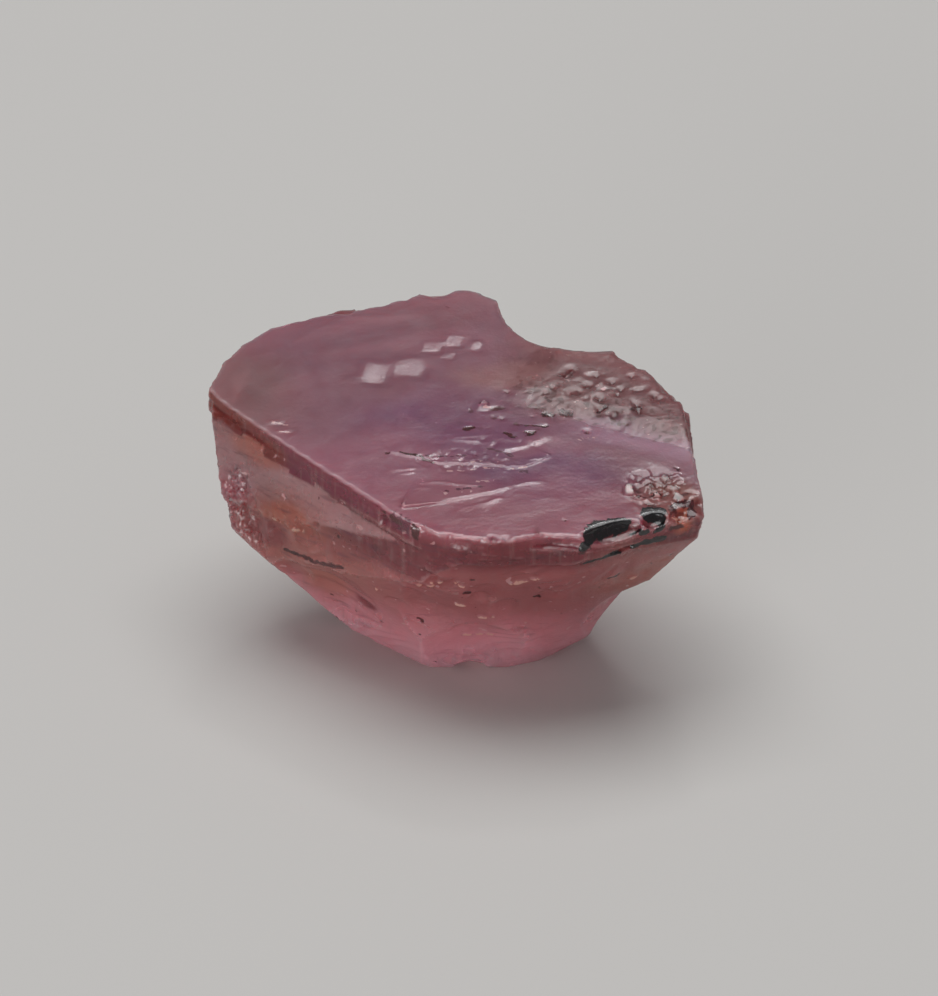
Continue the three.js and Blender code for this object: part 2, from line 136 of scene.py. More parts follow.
# inclusions, pits and hair lines: bars with a start, an end and the radius at each of the two
bars = {
    "black": [
        ((2.03, -3.28, 3.42), (2.16, -3.1, 3.58), 0.07, 0.13),
        ((2.24, -3.02, 3.58), (2.62, -2.9, 3.6), 0.17, 0.13),
        ((2.6, -2.86, 3.66), (2.84, -2.8, 3.64), 0.07, 0.035),
        ((2.6, -3.02, 3.5), (2.86, -2.95, 3.5), 0.06, 0.03),
        ((3.06, -2.66, 3.69), (3.2, -2.66, 3.67), 0.15, 0.15),
        ((3.24, -2.72, 3.62), (3.27, -2.85, 3.52), 0.09, 0.05),
        ((3.26, -2.86, 3.5), (3.16, -2.88, 3.46), 0.05, 0.04),
        ((2.92, -2.97, 3.52), (3.02, -2.94, 3.5), 0.05, 0.06),
        # the crack under them
        ((1.96, -3.26, 3.06), (2.5, -3.06, 3.18), 0.035, 0.055),
        ((2.5, -3.06, 3.18), (3.0, -2.88, 3.3), 0.055, 0.045),
        ((3.0, -2.88, 3.3), (3.26, -2.78, 3.28), 0.06, 0.08),
    ],
    # the pits are painted dark, as their shade
    "pit": [   # pits round the right tip, a dark hair line low on the left, and pits that lie alone
        ((-2.69, -1.1, 2.1), (-2.2, -1.5, 2.12), 0.025, 0.04),
        ((-2.2, -1.5, 2.12), (-1.75, -1.88, 2.22), 0.04, 0.035),
        ((1.95, -3.31, 3.33), (2.13, -3.28, 3.38), 0.02, 0.03),
        ((2.9, -2.3, 3.78), (3.1, -2.22, 3.78), 0.035, 0.05),
        ((3.1, -2.22, 3.78), (3.36, -2.16, 3.77), 0.03, 0.03),
        ((3.36, -2.6, 3.62), (3.46, -2.46, 3.72), 0.06, 0.06),
        ((3.46, -2.46, 3.72), (3.72, -2.4, 3.7), 0.05, 0.08),
        ((3.72, -2.4, 3.7), (3.72, -2.6, 3.6), 0.08, 0.06),
        ((3.42, -2.74, 3.46), (3.56, -2.7, 3.44), 0.05, 0.05),
        ((-0.96, -2.66, 3.6), (-0.8, -2.78, 3.56), 0.05, 0.06),
        ((-1.1, -2.5, 3.62), (-0.9, -2.6, 3.62), 0.03, 0.03),
        ((-0.6, -3.0, 3.58), (-0.58, -3.0, 3.42), 0.07, 0.05),
        ((0.2, -2.73, 2.26), (0.26, -2.72, 2.24), 0.05, 0.035),
        ((-0.55, -2.0, 1.32), (-0.5, -2.0, 1.3), 0.045, 0.04),
        ((-1.04, -1.12, 3.88), (-1.02, -1.12, 3.88), 0.04, 0.04),
        ((-0.85, -1.1, 3.9), (-0.53, -1.21, 3.88), 0.02, 0.03),
        ((-0.53, -1.21, 3.88), (-0.3, -1.38, 3.85), 0.03, 0.02),
        ((1.46, -0.09, 4.0), (1.56, -0.12, 4.0), 0.06, 0.05),
        ((1.5, 0.3, 4.06), (1.54, 0.22, 4.05), 0.06, 0.04),
        ((1.72, -0.02, 4.02), (1.84, -0.1, 4.0), 0.05, 0.07),
        ((2.3, -0.06, 4.02), (2.46, 0.08, 4.03), 0.04, 0.06),
        ((0.82, -0.6, 3.95), (0.98, -0.72, 3.93), 0.03, 0.05),
        ((1.2, -0.62, 3.94), (1.26, -0.6, 3.94), 0.07, 0.06),
        ((1.0, -0.38, 3.97), (1.5, -0.42, 3.96), 0.02, 0.03),
        ((0.2, -0.5, 3.96), (0.3, -0.46, 3.96), 0.05, 0.05),
        ((2.85, -0.02, 4.02), (2.95, 0.02, 4.02), 0.07, 0.06),
        ((1.74, -2.86, 3.66), (1.8, -2.84, 3.66), 0.03, 0.02),
        ((1.32, -2.46, 2.04), (1.36, -2.45, 2.02), 0.045, 0.035),
        ((2.45, -2.52, 2.42), (2.6, -2.46, 2.46), 0.03, 0.04),
        ((3.5, -1.5, 3.8), (3.6, -1.62, 3.76), 0.05, 0.05),
        ((3.62, -1.8, 3.72), (3.66, -2.0, 3.7), 0.05, 0.05),
    ],
    # pale hair lines on the top, and glints and sparkles painted pale on the shelf, the left rim and the
    # small lean facets
    "pale": [
        ((-0.05, -1.32, 3.88), (0.75, -1.36, 3.86), 0.035, 0.02),
        ((-0.35, -1.62, 3.84), (0.65, -1.5, 3.84), 0.022, 0.02),
        ((0.85, -1.55, 3.82), (1.15, -1.5, 3.82), 0.025, 0.02),
        ((0.4, -1.9, 3.8), (0.85, -1.72, 3.8), 0.02, 0.02),
        ((-0.5, -2.3, 3.74), (0.65, -2.05, 3.76), 0.025, 0.02),
        ((-2.85, -0.32, 3.98), (-2.62, -0.36, 3.97), 0.035, 0.02),
        ((-2.8, -0.52, 3.95), (-2.5, -0.6, 3.94), 0.025, 0.02),
        ((0.5, 0.1, 4.06), (0.6, 0.06, 4.06), 0.06, 0.04),
        ((2.33, 0.56, 4.14), (2.38, 0.5, 4.14), 0.06, 0.05),
        ((2.0, -0.75, 3.93), (2.3, -0.72, 3.93), 0.02, 0.02),
        ((-1.72, -1.86, 3.02), (-1.2, -2.2, 2.98), 0.022, 0.02),
        ((-3.52, 0.0, 3.62), (-3.44, -0.1, 3.6), 0.03, 0.03),
        ((-3.4, -0.33, 3.14), (-3.22, -0.52, 3.12), 0.035, 0.03),
        ((-3.5, -0.34, 2.95), (-3.42, -0.42, 2.93), 0.03, 0.03),
        ((-2.72, -1.02, 3.05), (-2.66, -1.08, 3.04), 0.05, 0.045),
        ((-2.5, -1.2, 2.98), (-1.9, -1.66, 2.9), 0.02, 0.022),
        ((-3.24, -0.66, 2.47), (-3.18, -0.72, 2.44), 0.06, 0.04),
    ],
    "purple": [
        ((-0.42, -1.2, 3.88), (0.4, -1.2, 3.88), 0.03, 0.02),
        ((0.55, -1.0, 3.9), (0.95, -1.2, 3.88), 0.025, 0.035),
        ((1.05, -1.6, 3.82), (1.2, -1.55, 3.82), 0.02, 0.02),
        ((-0.1, -2.12, 3.76), (0.5, -2.0, 3.78), 0.022, 0.02),
        ((-0.9, -2.68, 3.58), (-0.72, -2.86, 3.56), 0.1, 0.12),
    ],
    # painted glints on the underside, each on a small raised crest, pale streaks low on the left, and the
    # tan spot in the right tip's pit
    "glint": [
        ((-0.5, -2.78, 2.44), (-0.36, -2.82, 2.44), 0.06, 0.05),
        ((-0.36, -2.86, 2.54), (-0.1, -2.88, 2.55), 0.03, 0.04),
        ((-0.1, -2.88, 2.55), (0.1, -2.98, 2.68), 0.045, 0.03),
        ((0.04, -2.86, 2.46), (0.18, -2.86, 2.46), 0.03, 0.025),
        ((-1.3, -2.1, 2.03), (-1.16, -2.18, 1.98), 0.035, 0.03),
        ((0.9, -2.92, 2.54), (1.1, -2.96, 2.6), 0.035, 0.04),
        ((1.1, -2.96, 2.6), (1.34, -3.0, 2.68), 0.04, 0.025),
        ((0.04, -2.48, 1.9), (0.24, -2.5, 1.92), 0.05, 0.04),
        ((0.36, -2.28, 1.58), (0.52, -2.26, 1.54), 0.04, 0.03),
        ((0.62, -2.24, 1.56), (0.8, -2.22, 1.5), 0.035, 0.04),
        ((0.2, -1.74, 0.93), (0.62, -1.76, 0.94), 0.03, 0.03),
        ((-0.9, -1.75, 1.3), (-0.74, -1.82, 1.28), 0.05, 0.03),
        ((-2.85, -1.0, 2.64), (-2.6, -1.22, 2.58), 0.035, 0.03),
        ((-2.6, -1.22, 2.58), (-2.36, -1.42, 2.6), 0.03, 0.035),
        ((-3.1, -0.78, 2.76), (-3.04, -0.82, 2.76), 0.04, 0.03),
        ((2.6, -2.3, 2.2), (2.9, -2.2, 2.3), 0.025, 0.03),
        ((3.49, -2.66, 3.55), (3.57, -2.58, 3.62), 0.07, 0.06),
    ],
}
bars = {kind: [(Vector(start), Vector(end), thick, thin) for start, end, thick, thin in rows]
        for kind, rows in bars.items()}
# soft stains in the stone: centre, radii, strength
stains = {
    "violet": [((0.0, -0.4, 3.95), (2.0, 1.4, 1.2), 0.85), ((1.4, -1.7, 3.8), (1.6, 1.0, 0.6), 0.9),
               ((2.2, -0.55, 4.0), (1.1, 0.5, 0.5), 0.4)],
    "bloom": [((-1.0, -1.35, 3.85), (1.6, 1.1, 0.5), 0.8), ((1.5, -0.98, 3.9), (0.9, 0.35, 0.4), 0.5)],
    "tan": [((-3.6, 0.7, 4.0), (1.5, 1.8, 0.7), 0.65), ((1.3, 0.35, 4.1), (1.9, 0.9, 0.8), 0.3)],
    "sand": [((0.75, 0.95, 4.15), (1.0, 0.6, 0.4), 0.6), ((-0.6, 3.0, 4.3), (2.2, 1.2, 0.9), 0.14)],
    "rose": [((0.9, -2.6, 3.7), (3.0, 1.3, 0.45), 0.6), ((-3.45, -0.45, 2.5), (0.6, 0.7, 0.9), 0.7)],
    "brown": [((-2.3, -1.1, 2.35), (2.2, 2.0, 1.0), 0.7), ((2.9, -2.9, 3.15), (1.1, 0.8, 0.45), 0.35)],
    "orange": [((-3.0, -0.5, 3.62), (0.9, 0.9, 0.38), 0.6), ((-2.45, -1.3, 2.72), (0.9, 0.8, 0.24), 0.6),
               ((-2.0, -1.2, 1.45), (0.6, 0.7, 0.5), 0.5), ((3.0, -1.9, 2.3), (1.3, 1.3, 0.8), 0.45),
               ((3.53, -2.62, 3.58), (0.2, 0.2, 0.2), 1.0)],
    "red": [((-3.0, -0.9, 2.35), (0.6, 0.6, 0.35), 0.7), ((-1.7, -1.8, 2.65), (1.2, 1.0, 0.3), 0.4),
            ((-1.4, -1.42, 1.27), (0.25, 0.25, 0.2), 0.9)],
}
# small shell-shaped chips: place, radius, depth, and the way in which the sharp lip looks
chips = [
    ((-0.04, -2.84, 2.52), 0.16, 0.05, (0.1, 0.4, 0.9)), ((-0.38, -2.98, 2.72), 0.2, 0.04, (0.5, 0.2, 0.8)),
    ((1.1, -2.98, 2.66), 0.26, 0.045, (0.2, 0.3, 0.95)), ((0.43, -2.6, 2.08), 0.2, 0.045, (0.1, 0.3, 0.9)),
    ((0.8, -2.4, 1.84), 0.26, 0.04, (0.2, 0.3, 0.9)), ((-0.91, -2.1, 1.72), 0.2, 0.035, (0.6, 0.2, 0.8)),
    ((0.3, -1.9, 1.1), 0.34, 0.04, (0.1, 0.3, 0.9)), ((-0.6, -1.98, 1.32), 0.16, 0.03, (0.3, 0.3, 0.9)),
    ((1.5, -2.5, 2.1), 0.2, 0.03, (0.2, 0.3, 0.9)), ((-2.26, -1.46, 2.5), 0.3, 0.05, (-0.3, 0.2, 0.9)),
    ((-2.75, -1.05, 2.4), 0.26, 0.05, (-0.3, 0.2, 0.9)), ((-1.0, -2.5, 3.45), 0.16, 0.06, (-0.5, 0.2, 0.9)),
]
# small facets of the top that lean a little more to the front: centre and half widths in x and y
leanFacets = [
    ((-1.24, 1.0), (0.34, 0.42)), ((-0.72, 1.15), (0.38, 0.4)), ((-0.32, 1.72), (0.2, 0.22)),
    ((0.02, 1.88), (0.22, 0.22)), ((0.4, 1.75), (0.1, 0.2)), ((-0.08, 1.5), (0.14, 0.14)),
    ((-2.8, -0.32), (0.2, 0.1)), ((-2.64, -0.56), (0.2, 0.08)),
    ((2.36, 0.54), (0.12, 0.12)), ((0.5, 0.05), (0.14, 0.12)), ((1.95, 0.75), (0.16, 0.1)),
]
facetSlope = (-0.03, 0.07)
cellSize = 0.5
cells = {}


def strayed(at, kind):   # a point shifted a little, so that borders wander
    size, far = strays[kind]
    return at + noise.noise_vector(at / size) * far


def depthAt(at):   # how far a point lies below the plane of the flat top
    return stone["topPoint"][2] + (at.y - stone["topPoint"][1]) * topSlope - at.z


def onBar(at, start, end):   # how far along a bar the nearest point is, and how far off
    run = end - start
    share = min(max((at - start).dot(run) / max(run.length_squared, 1e-9), 0.0), 1.0)
    return share, (at - start - run * share).length


def barsNear(kind, at):   # the bars that come near the small cell of space that a point is in
    key = (kind, *[math.floor(a / cellSize) for a in at])
    if key not in cells:
        middle = Vector([(k + 0.5) * cellSize for k in key[1:]])
        cells[key] = [bar for bar in bars[kind]
                      if onBar(middle, bar[0], bar[1])[1] < cellSize + 2 * max(bar[2:])]
    return cells[key]


def barField(kind, at):   # 1 on a bar's line, 0.5 on its skin, 0 as far again outside it
    best = 0.0
    for start, end, thick, thin in barsNear(kind, at):
        share, far = onBar(at, start, end)
        best = max(best, 1.0 - far / (2 * (thick + (thin - thick) * share)))
    return best


def stainShare(kind, at):
    return max(strength * blob(at, centre, radii) for centre, radii, strength in stains[kind])


def lipShare(at, deep):   # 1 along the front rim of the top
    reach = stone["lip"]["reach"]
    far = abs(at.y - lineHeight(stone["frontRim"], at.x)) + 0.7 * max(0.0, deep)
    return ((1.0 - fade(0.2 * reach, reach, far)) * fade(*spans["lipLeft"], at.x)
            * (1.0 - fade(*spans["lipRight"], at.x)))


# the riser's own red-brown is painted darker, partly as the shade of the step
def riserShare(at, way, deep):   # the dark riser under the left front rim, whose foot goes in steps
    riser = stone["riser"]
    block = noise.cell(Vector(((at.x - at.y) / riser["block"] + 0.3 * noise.noise(at), 0.5, 0.5)))
    end = riser["end"] + riser["step"] * (block - 0.5) + 0.05 * noise.noise(at / 0.4)
    band = fade(0.0, 0.05, deep) * (1.0 - fade(end - 0.025, end + 0.025, deep))
    return band * (1.0 - fade(*spans["riserRight"], at.x)) * fade(*spans["riserFacing"], -way.x - way.y)


def partsAt(at, way):   # how much a point belongs to each part of the surface
    near = strayed(at, "part")
    deep = depthAt(at)
    behind = near.y - lineHeight(stone["ridge"], near.x)
    parts = {
        "top": fade(*spans["topFacing"], way.dot(topWay)) * (1.0 - fade(*spans["topEnd"], deep)),
        "corner": fade(*spans["cornerBehind"], behind) * fade(*spans["cornerAlong"], near.x)
        * (1.0 - fade(*spans["cornerEnd"], deep)),
        "riser": riserShare(at, way, deep),
        "wall": (1.0 - fade(*spans["wallFacing"], abs(way.z))) * fade(*spans["wallBelow"], deep),
        "side": fade(*spans["sideBelow"], deep),
        "under": max(fade(*spans["underFacing"], -way.z) * fade(*spans["underBelow"], deep),
                     fade(*spans["underAll"], deep)),
        "rim": blob(near, *places["rightTip"]),
        "crumbs": blob(at, *places["crumbs"]),
        "ridge": fade(*spans["ridgeAlong"], near.x)
        * (1.0 - fade(*spans["ridgeAcross"], abs(behind + 0.1))) * (1.0 - fade(*spans["ridgeEnd"], deep)),
        "crystal": fade(*spans["crystalAbove"], -deep) * blob(at, *places["crystals"]),
        "lip": lipShare(at, deep),
        "back": fade(*spans["backAlong"], at.y) * fade(*spans["backBelow"], deep),
        "deep": deep,
    }
    # the shelf's own grey-tan is painted lighter, partly as the light and sheen on its up-leaning face
    parts["shelf"] = (fade(*spans["shelfFacing"], way.dot(shelfWay)) * fade(*spans["shelfBelow"], deep)
                      * (1.0 - parts["riser"]))
    parts["grain"] = parts["corner"] * (0.3 + 0.7 * (1.0 - fade(*spans["grainEnd"], behind)))
    # the low part of the underside is painted light pink as the glow of light passing through the thin stone
    parts["low"] = parts["under"] * (1.0 - fade(*spans["lowEnd"], near.z))
    hole = noise.noise(Vector([a / size for a, size in zip(near, stone["hole"]["size"])]))
    pitted = max(parts["grain"], 0.9 * parts["rim"], blob(near, *places["pits"]))
    parts["hole"] = pitted * fade(*spans["holes"], hole)
    bent = strayed(at, "bar")
    swept = strayed(at, "brokenBar")
    for kind in ("black", "pit", "purple"):
        parts[kind] = barField(kind, bent)
    for kind in ("pale", "glint"):   # these two are broken up along their way
        parts[kind] = barField(kind, swept) * fade(*spans["breaks"], noise.noise(at / 0.08))
    soft = strayed(at, "stain")
    for kind in stains:
        parts[kind] = stainShare(kind, soft)
    return parts


def waveOf(at, parts):   # the top is nearly flat, the broken faces swell more
    soft = noise.noise(at / stone["wave"]["size"]) * stone["wave"]["high"]
    soft += ((1.0 - stone["stepShare"]) * min(parts["deep"], 0.0)
             * (1.0 - parts["corner"]) * (1.0 - parts["crystal"]))
    lump = noise.fractal(at / stone["lump"]["size"], 1.0, 2.2, 3) * stone["lump"]["high"]
    flat = 0.7 * max(parts["shelf"], parts["riser"])
    return soft * parts["top"] + lump * (1.0 - parts["top"]) * (1.0 - flat)


def lineOf(at, parts):   # growth lines across the middle of the top
    line = stone["line"]
    across = at.y + line["slope"] * at.x
    along = at.x - line["slope"] * at.y
    drift = 0.1 * noise.noise(Vector((along * 1.1, across * 1.1, 3.1)))
    value = noise.noise(Vector((along / line["long"], (across + drift) / line["pitch"], 7.7)))
    broken = fade(0.05, 0.35, noise.noise(Vector((along * 1.6, across * 3.4, 11.0))))
    crest = max(0.0, 1.0 - abs(value) * 3.0)
    share = parts["top"] * (1.0 - parts["corner"]) * (1.0 - parts["rim"])
    return share * line["high"] * crest * (0.1 + blob(at, *places["lines"])) * broken


def grainOf(at, parts):   # small leaning grains, most of all where the crystals stand
    grain = stone["grain"]
    share = max(0.14 * parts["grain"], 0.45 * parts["rim"], 1.5 * parts["crumbs"],
                1.6 * blob(at, *places["crystalFaces"]), 0.35 * blob(at, *places["lineGrain"]))
    if share < 0.01:
        return 0.0
    total = 0.0
    for scale, weight in ((1.0, 1.0), (0.42, 0.6)):
        place = at / (grain["size"] * scale)
        seed = noise.voronoi(place)[1][0]
        lean = noise.cell_vector(seed)
        total += weight * (noise.cell(seed) - 0.6 + grain["lean"] * lean.dot(place - seed))
    return share * grain["high"] * total


def streakOf(at, parts):   # fine upright streaks and a few ledges on the walls and the riser
    streak = stone["streak"]
    turn = math.atan2(at.y, at.x) * 3.4
    value = noise.noise(Vector((turn / streak["pitch"], at.z / streak["long"], 2.3)))
    ledge = noise.noise(Vector((turn * 0.6, parts["deep"] / 0.14, 5.9)))
    share = (parts["wall"] * (1.0 - parts["crumbs"]) * (1.0 - 0.6 * parts["shelf"])
             * (1.0 - 0.7 * parts["under"]))
    patchy = fade(-0.3, 0.3, noise.noise(at / 0.8 + Vector((4, 4, 4))))
    return share * streak["high"] * (value * patchy + max(0.0, 1.0 - abs(ledge) * 5.0))


# the points that the ripples of the broken faces spread from
shellSprings = [(0.7, -3.6, 3.0), (-2.6, -2.2, 3.2), (3.9, -1.2, 3.4), (2.8, 2.6, 4.0), (-1.0, 4.0, 4.1),
                (-4.3, 1.5, 3.6)]


def shellOf(at, parts):   # rounded ripples on the underside and the back
    far = min((at - Vector(spring)).length for spring in shellSprings)
    bend = 0.6 * noise.noise(at / 0.9)
    wave = math.sin((far + bend) * 2 * math.pi / stone["shell"]["pitch"])
    patch = fade(-0.1, 0.4, noise.noise(at / 1.1 + Vector((9, 2, 4))))
    return max(parts["under"], 0.7 * parts["back"]) * patch * stone["shell"]["high"] * wave


def chipOf(at):
    total = 0.0
    for centre, radius, depth, lip in chips:
        gap = at - Vector(centre)
        if gap.length < radius:
            side = gap.dot(Vector(lip).normalized()) / radius
            total -= depth * (1.0 - (gap.length / radius) ** 4) * fade(-1.0, 0.7, side)
    return total


def facetOf(at, parts):
    near = strayed(at, "facet")
    total = 0.0
    for centre, half in leanFacets:   # nearly square spots
        aside, ahead = (near.x - centre[0]) / half[0], (near.y - centre[1]) / half[1]
        far = math.sqrt(math.hypot(aside ** 2, ahead ** 2))
        if far < 1.0:
            rise = facetSlope[0] * (at.x - centre[0]) + facetSlope[1] * (at.y - centre[1])
            total += rise * (1.0 - fade(0.5, 1.0, far))
    return total * fade(*spans["facetEdge"], parts["top"] + parts["corner"])


def lipMove(at, parts):   # the front rim of the top wavers and stands up a little
    lip = stone["lip"]
    wander = noise.noise(Vector((at.x / lip["wave"], 0.3, 0.9)))
    chipped = 0.3 * noise.noise(at / 0.06)
    out, up = lip["out"] * (wander + chipped), lip["up"] * (0.4 + wander + chipped)
    return Vector((0.0, out, up)) * parts["lip"]


def smallMove(at, way, parts):   # everything that the relief does at one point
    raised = waveOf(at, parts) + lineOf(at, parts)
    raised += grainOf(at, parts) * (1.0 - fade(*spans["blackEdge"], parts["black"]))
    raised += streakOf(at, parts) + shellOf(at, parts) + chipOf(at) + facetOf(at, parts)
    raised -= stone["riser"]["recess"] * parts["riser"] * (1.0 - fade(*spans["recessEnd"], parts["deep"]))
    raised -= stone["pitDeep"] * fade(*spans["pitEdge"], parts["pit"])
    raised -= stone["hole"]["deep"] * parts["hole"]
    raised += stone["crest"] * fade(*spans["crestEdge"], parts["glint"])
    return (way * raised + lipMove(at, parts)) * fade(*stone["footFade"], at.z)


def bakeModifiers(piece):
    made = bpy.data.meshes.new_from_object(piece.evaluated_get(bpy.context.evaluated_depsgraph_get()))
    piece.modifiers.clear()
    piece.data = made


def evenSkin():   # the stone's own solid in millimetres, covered evenly with small faces
    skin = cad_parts["sapphire"].data.copy()
    skin.transform(Matrix.Scale(1 / mm, 4))
    work = bmesh.new()
    work.from_mesh(skin)
    bmesh.ops.remove_doubles(work, verts=work.verts, dist=stone["weld"])
    work.to_mesh(skin)
    work.free()
    piece = bpy.data.objects.new("roughStone", skin)
    scene.collection.objects.link(piece)
    remesh = piece.modifiers.new("evenSkin", "REMESH")
    remesh.mode = "VOXEL"
    remesh.voxel_size = stone["skin"]
    smooth = piece.modifiers.new("soften", "SMOOTH")
    smooth.iterations = stone["soften"]
    bakeModifiers(piece)
    rim = piece.vertex_groups.new(name="backRim")
    for vert in piece.data.vertices:
        behind = vert.co.y - lineHeight(stone["ridge"], vert.co.x)
        weight = max(fade(*spans["softBack"], vert.co.y) * (1.0 - fade(*spans["softBackEnd"], vert.co.x)),
                     0.8 * fade(*spans["softBehind"], behind) * fade(*spans["softAlong"], vert.co.x),
                     0.6 * blob(vert.co, *places["softPits"]), blob(vert.co, *places["frontSpot"]))
        weight *= 1.0 - fade(*spans["softEnd"], depthAt(vert.co))
        if weight > 0.0:
            rim.add([vert.index], weight, "REPLACE")
    rounder = piece.modifiers.new("roundRim", "SMOOTH")
    rounder.iterations = stone["softRim"]
    rounder.vertex_group = "backRim"
    bakeModifiers(piece)
    piece.vertex_groups.clear()
    return piece


shareNames = ("top", "side", "corner", "grain", "hole", "ridge", "riser", "shelf", "wall", "under", "low",
              "rim", "crystal", "lip", *bars, *stains)


def carveStone():
    piece = evenSkin()
    piece.vertex_groups.new(name="keep")   # the marks keep all their small faces
    work = bmesh.new()
    work.from_mesh(piece.data)
    work.normal_update()
    shares = {name: work.verts.layers.float.new(name) for name in shareNames}
    keep = work.verts.layers.deform.verify()
    moves = []
    for vert in work.verts:
        parts = partsAt(vert.co, vert.normal)
        moves.append(smallMove(vert.co, vert.normal, parts))
        for name in shareNames:
            vert[shares[name]] = parts[name]
        marked = max(parts[kind] for kind in bars) > stone["keep"]["bars"]
        if marked or parts["lip"] > stone["keep"]["lip"]:
            vert[keep][0] = 1.0
    for vert, move in zip(work.verts, moves):
        vert.co += move
    work.normal_update()
    markEdges(work)
    fine = len(work.faces) * 2
    work.to_mesh(piece.data)
    work.free()
    thin = piece.modifiers.new("fewerFaces", "DECIMATE")
    thin.ratio = stone["faces"] / fine
    thin.vertex_group = "keep"
    thin.invert_vertex_group = True
    bakeModifiers(piece)
    piece.vertex_groups.clear()
    piece.data.name = "roughStone"
    piece.data.transform(Matrix.Scale(mm, 4))
    piece.data.shade_smooth()
    print("stone carved:", fine, "faces thinned to", len(piece.data.polygons))
    return piece


def markEdges(work):   # how far each point stands out as an edge, or lies in a crease
    edge = work.verts.layers.float.new("edge")
    crease = work.verts.layers.float.new("crease")
    work.verts.index_update()
    bend = []
    for vert in work.verts:
        turn = 0.0
        for link in vert.link_edges:
            other = link.other_vert(vert)
            gap = other.co - vert.co
            turn += (other.normal - vert.normal).dot(gap) / max(gap.length_squared, 1e-9)
        bend.append(turn / len(vert.link_edges))
    for vert in work.verts:
        around = [bend[link.other_vert(vert).index] for link in vert.link_edges]
        mean = 0.5 * bend[vert.index] + 0.5 * sum(around) / len(around)
        vert[edge] = fade(*spans["sharpBend"], mean)
        vert[crease] = fade(*spans["sharpBend"], -mean)


def newNode(tree, kind, values=None, **settings):
    node = tree.nodes.new(kind)
    for name, value in settings.items():
        setattr(node, name, value)
    for socket, value in (values or {}).items():
        if isinstance(value, bpy.types.NodeSocket):
            tree.links.new(value, node.inputs[socket])
        else:
            node.inputs[socket].default_value = value
    return node


def mixColours(tree, share, under, over):
    return newNode(tree, "ShaderNodeMix", {0: share, 6: under, 7: over}, data_type="RGBA").outputs[2]


def reckon(tree, operation, first, second=0.0, third=0.0):
    return newNode(tree, "ShaderNodeMath", {0: first, 1: second, 2: third}, operation=operation).outputs[0]


def times(tree, *shares):
    total = shares[0]
    for share in shares[1:]:
        total = reckon(tree, "MULTIPLY", total, share)
    return total


def between(tree, value, low, high, to=(0.0, 1.0)):
    node = newNode(tree, "ShaderNodeMapRange", {"Value": value, "From Min": low, "From Max": high,
                   "To Min": to[0], "To Max": to[1]}, interpolation_type="SMOOTHSTEP")
    return node.outputs["Result"]


def partSockets(tree):   # the shares that the carving left on the stone
    return {name: newNode(tree, "ShaderNodeAttribute", attribute_name=name,
                          attribute_type="GEOMETRY").outputs["Fac"]
            for name in (*shareNames, "edge", "crease")}


def cloud(tree, place, size, detail=2.0, rough=0.55):
    if isinstance(size, tuple):   # a size along each axis
        place = newNode(tree, "ShaderNodeVectorMath", {0: place, 1: size}, operation="DIVIDE").outputs[0]
        size = 1.0
    node = newNode(tree, "ShaderNodeTexNoise", {"Vector": place, "Scale": 1 / size, "Detail": detail,
                   "Roughness": rough})
    return node.outputs["Fac"]


corundum = {
    # several tones paint light and shade: the shelf's light, the riser's shade, the underside's glow, the
    # ridge's reflection, the front rim's and the glints' highlights, the inclusions' sheen, and the shade in
    # pits and creases
    "mauve": tone("a17080"), "wall": tone("741b29"), "corner": tone("8a5e60"), "rim": tone("a06a60"),
    "shelf": tone("b88f91"), "under": tone("b86c6d"), "low": tone("ffacb8"), "riser": tone("741638"),
    "rust": tone("802a16"), "ridge": tone("cfa5bd"), "crystal": tone("ffe6e2"), "lip": tone("e6bcbc"),
    "hole": tone("561c18"), "violet": tone("87567c"), "bloom": tone("b57a8f"), "tan": tone("9c7674"),
    "sand": tone("b98a86"), "rose": tone("b46a7d"), "brown": tone("a66456"), "orange": tone("ba6444"),
    "red": tone("882a35"), "black": tone("050507"), "paintedSheenGrey": tone("1c1e26"), "pit": tone("4a1216"),
    "pale": tone("f0c8c8"), "purple": tone("521a34"), "glint": tone("f4bca4"),
    "clear": 0.55, "ior": 1.77, "gloss": 0.22,   # gloss is the shader's specular level
    "cloudy": 1.0, "deep": (1.0, 0.45, 0.45), "reach": 2.2,   # light scattered inside, reach in mm
    "absorbs": (1.0, 0.5, 0.55, 1.0), "absorption": 60.0,   # per metre
    "rough": (0.17, 0.25), "wallRough": 0.06, "blackRough": -0.04, "grainRough": 0.1, "pitRough": -0.06,
    "bump": 0.5, "bumpHigh": 0.02, "broadBump": 0.8,
}
# how strongly each colour lies over the ones before it
strengths = {
    "ridge": 0.75, "rust": 1.4, "streaks": 0.5, "upright": 0.4, "mottle": 0.14, "grains": 0.7,
    "hollows": 0.85, "specks": 0.5, "lip": 0.3, "sheen": 0.4, "pale": 0.85, "glint": 0.7, "purple": 0.8,
    "pit": 1.0,
}


